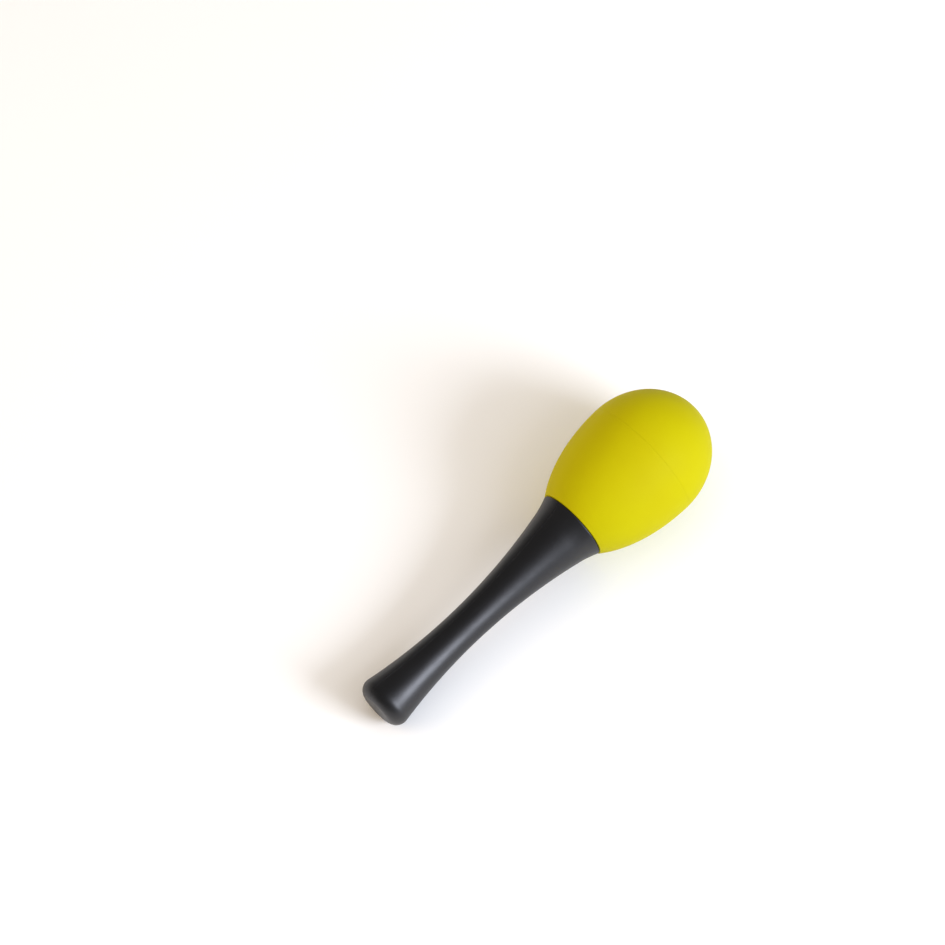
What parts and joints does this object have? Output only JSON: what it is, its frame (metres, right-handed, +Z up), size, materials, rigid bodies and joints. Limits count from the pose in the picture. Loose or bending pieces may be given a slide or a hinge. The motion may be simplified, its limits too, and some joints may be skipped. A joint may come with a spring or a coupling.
{
  "type": "egg shaker with handle",
  "caption": "Hand percussion shaker: a smooth two-shell egg head on a slim waisted hollow handle moulded in two halves, with loose steel shot sealed inside.",
  "frame": {"origin": "on the table, midway along the object's length and width, with the shaker lying at rest on the belly of its egg and the edge of its flat end", "axes": "+X along the table from the handle's flat end towards the egg's crown, +Z up, +Y to the left as seen from the flat end. The long axis leans up by about 6.4 degrees towards the egg."},
  "size_m": [0.1498, 0.045, 0.0454],
  "materials": {
    "egg_plastic": "satin moulded ABS, yellow",
    "handle_plastic": "satin moulded ABS, black",
    "shot_steel": "polished steel"
  },
  "bodies": {
    "shaker": {"egg_top_shell": "egg_plastic", "egg_bottom_shell": "egg_plastic", "handle_left_half": "handle_plastic", "handle_right_half": "handle_plastic"},
    "shot_bed": {"shot_bed": "shot_steel"},
    "shot_heap": {"shot_heap": "shot_steel"},
    "shot_edges": {"shot_edges": "shot_steel"}
  },
  "joints": [
    {"name": "swirl", "type": "hinge", "parent": "shaker", "child": "shot_bed", "pos_m": [0.04953, 0, 0.02282], "axis": [0.9937, 0, 0.1117], "continuous": true},
    {"name": "toss", "type": "slide", "parent": "shot_bed", "child": "shot_heap", "axis": [-0.1117, 0, 0.9937], "range_m": [0, 0.028]},
    {"name": "surge", "type": "slide", "parent": "shot_bed", "child": "shot_edges", "axis": [0.9937, 0, 0.1117], "range_m": [0, 0.024]}
  ]
}
